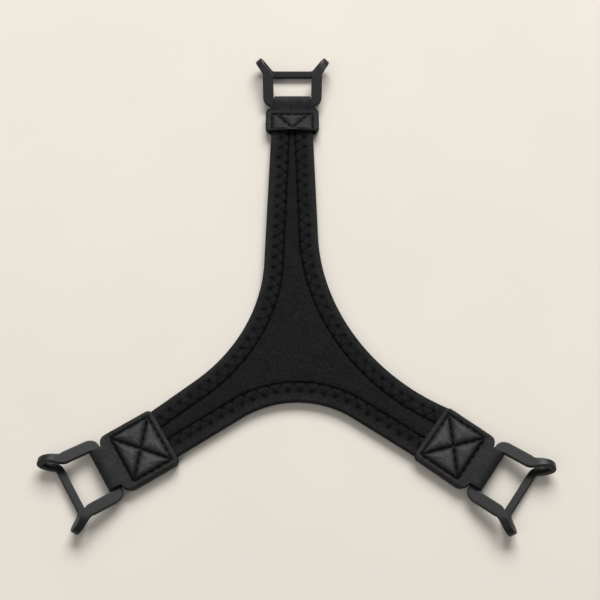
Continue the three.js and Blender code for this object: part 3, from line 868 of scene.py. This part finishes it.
def make_tab(name, settings, material):
    """A tab as rings from its inner end, which is tucked in, to the nose of its fold."""
    arm = ARMS[name]
    length = arm["length"]
    neck_start = -6.0
    flat = np.arange(-length, neck_start, 0.36)
    neck = np.arange(neck_start, 0.0, 0.2)
    nose = FOLD_RADIUS * np.sin(np.radians(np.linspace(0, 88, 16)))
    stations = np.concatenate([[-length + 3.2, -length + 0.25], flat, neck, nose])
    across = np.linspace(-1, 1, 91)
    across = np.sign(across) * (1 - (1 - np.abs(across)) ** 1.12)
    count = 13
    walls = [0.75, 0.4]
    rings, painted_lights = [], []
    for index, u in enumerate(stations):
        hollow = index < 2
        half = float(tab_half_width(arm, np.array(max(u, -length + 0.12))))
        if hollow:
            half -= 0.7
        v = across * half
        z, painted_light = tab_top(arm, np.full(v.shape, u), v, settings)
        thick = float(fold_top(np.array(u))) if u > 0 else TAB_TOP
        low = FOLD_RADIUS - math.sqrt(max(FOLD_RADIUS**2 - max(u, 0) ** 2, 0))
        if arm["stitch"] == "point" and not hollow:
            low += 1.8 * float(np.clip((2.4 - length - u) / 2.4, 0, 1))
        soft = min(1.5 if u < neck_start else 0.9, (thick - low) * 0.3)
        past = np.clip((np.abs(v) - (half - soft)) / soft, 0, 1)
        z = z - soft * (1 - np.sqrt(1 - past**2)) * 0.9
        if hollow:
            z = z - 0.85
            low += 0.3
        under = np.linspace(-1, 1, count) * (half - 0.35)
        bottom = np.column_stack([np.full(count, u), under, np.full(count, low)])
        bottom[[0, -1], 2] += 0.05
        top = np.column_stack([np.full(len(v), u), v, z])[::-1]
        left = [(u, -half, low + (z[0] - low) * share) for share in walls]
        right = [(u, half, low + (z[-1] - low) * share) for share in walls[::-1]]
        rings.append(np.vstack([top, left, bottom, right]))
        # Painted light of each ring: the top face's from tab_top, and a middle shade for the sides and
        # underside.
        painted_lights.append(np.concatenate([painted_light[::-1], np.full(count + 2 * len(walls), TAB_SHADE)]))
    rings = np.array(rings)
    lay = np.dstack([rings[..., :2], np.array(painted_lights)[..., None]])
    piece = make_piece(
        f"{name}_sewn_tab", arm_to_frame(arm, rings), loft_faces(*rings.shape[:2]), material, "yoke",
        [f"{name}_tab"], lay,
    )
    cut_eye(piece, arm)
    return piece


def cut_eye(piece, arm):
    """Opens the eye that the hook's loop bar turns in."""
    count = 40
    turn = np.linspace(0, 2 * np.pi, count, endpoint=False)
    u, w = FOLD_BORE * np.cos(turn), FOLD_RADIUS + FOLD_BORE * np.sin(turn)
    overhang = 2
    reach = arm["half"] + overhang
    ends = [np.column_stack([u, np.full(count, v), w]) for v in (-reach, reach)]
    points = arm_to_frame(arm, np.array(ends))
    mesh = closed_mesh("eye_cutter", points, loft_faces(2, count), smooth=False)
    cutter = add_object("eye_cutter", mesh)
    step = piece.modifiers.new("eye", "BOOLEAN")
    step.operation = "DIFFERENCE"
    step.object = cutter
    step.solver = "EXACT"
    bpy.context.view_layer.update()
    depsgraph = bpy.context.evaluated_depsgraph_get()
    finished = bpy.data.meshes.new_from_object(piece.evaluated_get(depsgraph))
    piece.modifiers.clear()
    old = piece.data
    piece.data = finished
    bpy.data.meshes.remove(old)
    bpy.data.objects.remove(cutter)
    bpy.data.meshes.remove(mesh)


def make_tab_stitches(name, tab, threads):
    """The stitches of a tab, each of which dives into its grooves at both ends."""
    arm = ARMS[name]
    material = shared("sewing_thread", thread_material, threads.thread_colour)
    share = np.linspace(0, 1, 9)
    dive = np.array([-0.38, 0.0, 0.24, 0.33, 0.36, 0.33, 0.24, 0.0, -0.38])
    paths = []
    for (u0, v0), (u1, v1) in stitch_lines(arm):
        length = math.hypot(u1 - u0, v1 - v0)
        count = max(2, round(length / TAB_PITCH))
        pitch = length / count
        for index in range(count):
            run = (index + 0.12 + share * 0.76) * pitch / length
            u = u0 + (u1 - u0) * run
            v = v0 + (v1 - v0) * run
            z, _ = tab_top(arm, u, v, tab)
            z = (z + z.mean()) / 2
            paths.append(np.column_stack([u, v, z + dive]))
    points, faces = tubes(paths, threads.tab_thread_radius / MM, sides=8)
    make_piece(
        f"{name}_tab_stitches", arm_to_frame(arm, points), faces, material, "yoke",
        [f"{name}_tab_needle_thread"],
    )


# -------------------------------------------------------------------------------- hooks


def half_ring(side_bar):
    """Half of the bent strip, as stations of middle, run, width direction and width."""
    stations = []
    state = {"at": np.zeros(3), "travel": 90.0, "flip": 0.0}

    def flat(degrees):
        return np.append(heading(degrees), 0.0)

    def put(width):
        across = flat(state["travel"] - 90 + state["flip"])
        stations.append((state["at"].copy(), flat(state["travel"]), across, width))

    def forward(length, from_width, width, pieces=4):
        for index in range(1, pieces + 1):
            state["at"] = state["at"] + flat(state["travel"]) * length / pieces
            put(from_width + (width - from_width) * index / pieces)

    def turn(angle, radius, from_width, width, steps, widening=1.0):
        chord = 2 * radius * math.sin(math.radians(abs(angle)) / steps / 2)
        for index in range(1, steps + 1):
            state["travel"] += angle / steps / 2
            state["at"] = state["at"] + flat(state["travel"]) * chord
            state["travel"] += angle / steps / 2
            share = min(index / steps * widening, 1.0)
            put(from_width + (width - from_width) * share * share * (3 - 2 * share))

    put(LOOP_WIDTH)
    forward(side_bar - LOOP_CORNER, LOOP_WIDTH, LOOP_WIDTH)
    turn(SIDE_SPLAY - 90, LOOP_CORNER, LOOP_WIDTH, SIDE_WIDTH, 16, WIDENING)
    tangent = BEND_RADIUS * math.tan(math.radians(FLARE - SIDE_SPLAY) / 2)
    forward(BEND_AT - tangent - state["at"][0], SIDE_WIDTH, SIDE_WIDTH, 6)
    turn(FLARE - SIDE_SPLAY, BEND_RADIUS, SIDE_WIDTH, BEND_WIDTH, 10)
    forward(PRONG_STRAIGHT - tangent, BEND_WIDTH, (BEND_WIDTH + PRONG_WIDTH) / 2, 2)
    out = flat(FLARE)
    inward = np.array([out[1], -out[0], 0.0])
    up = np.array([0.0, 0.0, 1.0])
    root = state["at"].copy()
    drop = inward * LAYER_SHIFT / 2 - up * LAYER_DROP / 2
    steps = 36
    for index in range(1, steps + 1):
        t = math.pi * index / steps
        fallen = 1 - math.cos(t) + PRONG_DIP * math.sin(t) ** 2
        middle = root + out * PRONG_TURN * math.sin(t) + drop * fallen
        fall = math.sin(t) * (1 + 2 * PRONG_DIP * math.cos(t))
        along = out * PRONG_TURN * math.cos(t) + drop * fall
        roll = math.radians(PRONG_ROLL) * math.sin(t)
        across = inward * math.cos(roll) + up * math.sin(roll)
        width = (BEND_WIDTH + PRONG_WIDTH) / 2 + (PRONG_WIDTH - BEND_WIDTH) / 2 * min(index / 6, 1)
        stations.append((middle, along / np.linalg.norm(along), across, width))
    state["at"] = stations[-1][0]
    state["travel"] = FLARE + 180.0
    state["flip"] = 180.0
    corner_run = CROSSBAR_CORNER * (1 - math.sin(math.radians(FLARE)))
    straight = (state["at"][0] - corner_run - CROSSBAR_AT) / math.cos(math.radians(FLARE))
    forward(straight, PRONG_WIDTH, PRONG_WIDTH, 2)
    turn(90 - FLARE, CROSSBAR_CORNER, PRONG_WIDTH, PRONG_WIDTH, 12)
    forward(state["at"][1], PRONG_WIDTH, PRONG_WIDTH, 6)
    return stations


def strip_section(width, edge):
    """Outline of the strip, and how near each point is to a rounded edge."""
    half, thick = width / 2, STRIP / 2
    rim = 0.18
    outline, worn = [], []
    for sign_a, sign_b, start in ((1, -1, -90), (1, 1, 0), (-1, 1, 90), (-1, -1, 180)):
        centre = np.array([sign_a * (half - edge), sign_b * (thick - edge)])
        arc = [centre + edge * heading(start + step) for step in (0, 22.5, 45, 67.5, 90)]
        before = arc[0] - rim * heading(start + 90)
        after = arc[-1] + rim * heading(start + 180)
        outline += [before, *arc, after]
        worn += [0.1, 0.6, 1.0, 1.0, 1.0, 0.6, 0.1]
    return np.array(outline), np.array(worn)


def make_hook(name, settings, material):
    """The closed ring of bent strip, pitched about its loop bar as it lies at rest."""
    arm = ARMS[name]
    half = half_ring(arm["side_bar"])
    flip = np.array([1.0, -1.0, 1.0])
    other = []
    for at, along, across, width in half[1:-1][::-1]:
        other.append((at * flip, -(along * flip), across * flip, width))
    rings, wears = [], []
    for at, along, across, width in half + other:
        side = across - along * (across @ along)
        side /= np.linalg.norm(side)
        out = np.cross(side, along)
        section, worn = strip_section(width, settings.strip_edge / MM)
        rings.append(at + section[:, :1] * side + section[:, 1:] * out)
        wears.append(worn)
    rings = np.array(rings)
    pitch = math.radians(HOOK_PITCH)
    u, w = rings[..., 0], rings[..., 2]
    turned = np.stack([
        u * math.cos(pitch) - w * math.sin(pitch),
        rings[..., 1],
        FOLD_RADIUS + u * math.sin(pitch) + w * math.cos(pitch),
    ], axis=-1)
    rows, columns = rings.shape[:2]
    run = np.broadcast_to(np.arange(rows)[:, None], (rows, columns))
    lay = np.dstack([run, run * 0, np.array(wears)])
    faces = grid_faces(rows, columns, closed_rows=True, closed_columns=True)
    return make_piece(
        f"{name}_steel_hook", arm_to_frame(arm, turned), faces, material, f"{name}_hook",
        [f"{name}_hook"], lay,
    )


# ------------------------------------------------------------------------------ operators


class YOKE_OT_edges(bpy.types.Operator):
    """Make the cloth that is folded round the three curved edges"""
    bl_idname = "yoke.edges"
    bl_label = "Folded Edges"

    def execute(self, context):
        settings = context.scene.yoke_cloth
        material = shared("edge_cloth", cloth_material, settings.cloth_colour, True)
        for name, seed in EDGE_SEEDS.items():
            make_edge(CurvedEdge(name), settings, material, seed)
        return {"FINISHED"}


class YOKE_OT_face(bpy.types.Operator):
    """Make the face cloth between the seams"""
    bl_idname = "yoke.face"
    bl_label = "Face Cloth"

    def execute(self, context):
        settings = context.scene.yoke_cloth
        material = shared("face_cloth", cloth_material, settings.cloth_colour, False)
        make_panel([CurvedEdge(name) for name in EDGES], settings, material)
        return {"FINISHED"}


class YOKE_OT_edge_stitches(bpy.types.Operator):
    """Sew the two rows and the zigzag of each edge seam"""
    bl_idname = "yoke.edge_stitches"
    bl_label = "Edge Stitches"

    def execute(self, context):
        scene = context.scene
        for name, seed in EDGE_SEEDS.items():
            make_seams(CurvedEdge(name), scene.yoke_cloth, scene.yoke_thread, seed)
        return {"FINISHED"}


class YOKE_OT_inner_layers(bpy.types.Operator):
    """Give the lining, the layers inside and the threads underneath their finishes"""
    bl_idname = "yoke.inner_layers"
    bl_label = "Lining and Inner Layers"

    def execute(self, context):
        cloth = context.scene.yoke_cloth
        lining = shared("lining_cloth", cloth_material, cloth.lining_colour, False)
        thread = shared("sewing_thread", thread_material, context.scene.yoke_thread.thread_colour)
        finishes = {"back_lining": lining, "load_ply": lining, "foam_core": lining}
        finishes.update({f"{name}_tab_bobbin_thread": thread for name in ARMS})
        for name, material in finishes.items():
            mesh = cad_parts[name].data
            mesh.materials.clear()
            mesh.materials.append(material)
        return {"FINISHED"}


class YOKE_OT_tabs(bpy.types.Operator):
    """Make the sewn tabs with their quilted fields and eyes"""
    bl_idname = "yoke.tabs"
    bl_label = "Sewn Tabs"

    def execute(self, context):
        settings = context.scene.yoke_tab
        material = shared("tab_cloth", tab_material, settings.tab_colour)
        for name in ARMS:
            make_tab(name, settings, material)
        return {"FINISHED"}


class YOKE_OT_tab_stitches(bpy.types.Operator):
    """Sew the stitch lines of the tabs"""
    bl_idname = "yoke.tab_stitches"
    bl_label = "Tab Stitches"

    def execute(self, context):
        for name in ARMS:
            make_tab_stitches(name, context.scene.yoke_tab, context.scene.yoke_thread)
        return {"FINISHED"}


class YOKE_OT_hooks(bpy.types.Operator):
    """Bend the three steel strap hooks"""
    bl_idname = "yoke.hooks"
    bl_label = "Steel Hooks"

    def execute(self, context):
        settings = context.scene.yoke_hook
        material = shared("coated_steel", steel_material, settings.steel_colour)
        for name in ARMS:
            make_hook(name, settings, material)
        return {"FINISHED"}


def add_area_light(name, place, size, power, colour):
    """A soft rectangular light that shines at the middle of the floor."""
    lamp = bpy.data.lights.new(name, "AREA")
    lamp.shape = "RECTANGLE"
    lamp.size, lamp.size_y = size
    lamp.energy = power
    lamp.color = colour
    light = add_object(name, lamp)
    light.location = place
    light.rotation_euler = (-Vector(place)).to_track_quat("-Z", "Y").to_euler()


class YOKE_OT_stage(bpy.types.Operator):
    """Set out the floor, the lights and the camera"""
    bl_idname = "yoke.stage"
    bl_label = "Stage"

    def execute(self, context):
        settings = context.scene.yoke_stage
        scene = context.scene
        scene.view_settings.view_transform = "Standard"
        half = 6
        corners = [(-half, -half, 0), (half, -half, 0), (half, half, 0), (-half, half, 0)]
        mesh = bpy.data.meshes.new("floor")
        mesh.from_pydata(corners, [], [(0, 1, 2, 3)])
        mesh.materials.append(shared("floor", stage_material, settings.floor_colour))
        floor = add_object("floor", mesh)
        floor.location.z = -0.0004
        world = bpy.data.worlds.new("studio")
        world.use_nodes = True
        sky = world.node_tree.nodes["Background"]
        sky.inputs["Color"].default_value = (1, 1, 1, 1)
        sky.inputs["Strength"].default_value = settings.sky_strength
        scene.world = world
        power = settings.key_power
        add_area_light("key", (0.36, 2.25, 1.95), (2.4, 1.5), power, (0.992, 0.996, 1))
        add_area_light("fill", (-0.6, -0.5, 0.9), (0.8, 0.8), power * 0.013, (1, 1, 1))
        tilt, distance = math.radians(22), 0.520
        aim = Vector((PLACE[0] * MM, PLACE[1] * MM, 0))
        camera_data = bpy.data.cameras.new("camera")
        camera_data.lens = settings.focal_length
        camera_data.sensor_width = 36
        camera_data.clip_start = 0.01
        camera = add_object("camera", camera_data)
        camera.location = aim + Vector((0, -math.sin(tilt), math.cos(tilt))) * distance
        camera.rotation_euler = (tilt, 0, 0)
        scene.camera = camera
        return {"FINISHED"}


SETTINGS = {
    "yoke_cloth": YokeClothSettings,
    "yoke_thread": YokeThreadSettings,
    "yoke_tab": YokeTabSettings,
    "yoke_hook": YokeHookSettings,
    "yoke_stage": YokeStageSettings,
}
STEPS = (
    YOKE_OT_edges,
    YOKE_OT_face,
    YOKE_OT_edge_stitches,
    YOKE_OT_inner_layers,
    YOKE_OT_tabs,
    YOKE_OT_tab_stitches,
    YOKE_OT_hooks,
    YOKE_OT_stage,
)


class YOKE_PT_sidebar(bpy.types.Panel):
    bl_idname = "YOKE_PT_sidebar"
    bl_label = "Harness Yoke"
    bl_space_type = "VIEW_3D"
    bl_region_type = "UI"
    bl_category = "Yoke"

    def draw(self, context):
        for name, group in SETTINGS.items():
            box = self.layout.box()
            for key in group.__annotations__:
                box.prop(getattr(context.scene, name), key)
        for step in STEPS:
            self.layout.operator(step.bl_idname)


def register():
    for group in SETTINGS.values():
        bpy.utils.register_class(group)
    for step in STEPS:
        bpy.utils.register_class(step)
    bpy.utils.register_class(YOKE_PT_sidebar)
    for name, group in SETTINGS.items():
        setattr(bpy.types.Scene, name, PointerProperty(type=group))


def unregister():
    for name in SETTINGS:
        delattr(bpy.types.Scene, name)
    bpy.utils.unregister_class(YOKE_PT_sidebar)
    for step in reversed(STEPS):
        bpy.utils.unregister_class(step)
    for group in SETTINGS.values():
        bpy.utils.unregister_class(group)


def main():
    register()
    for step in STEPS:
        getattr(bpy.ops.yoke, step.bl_idname.split(".")[1])()


if __name__ == "__main__":
    main()
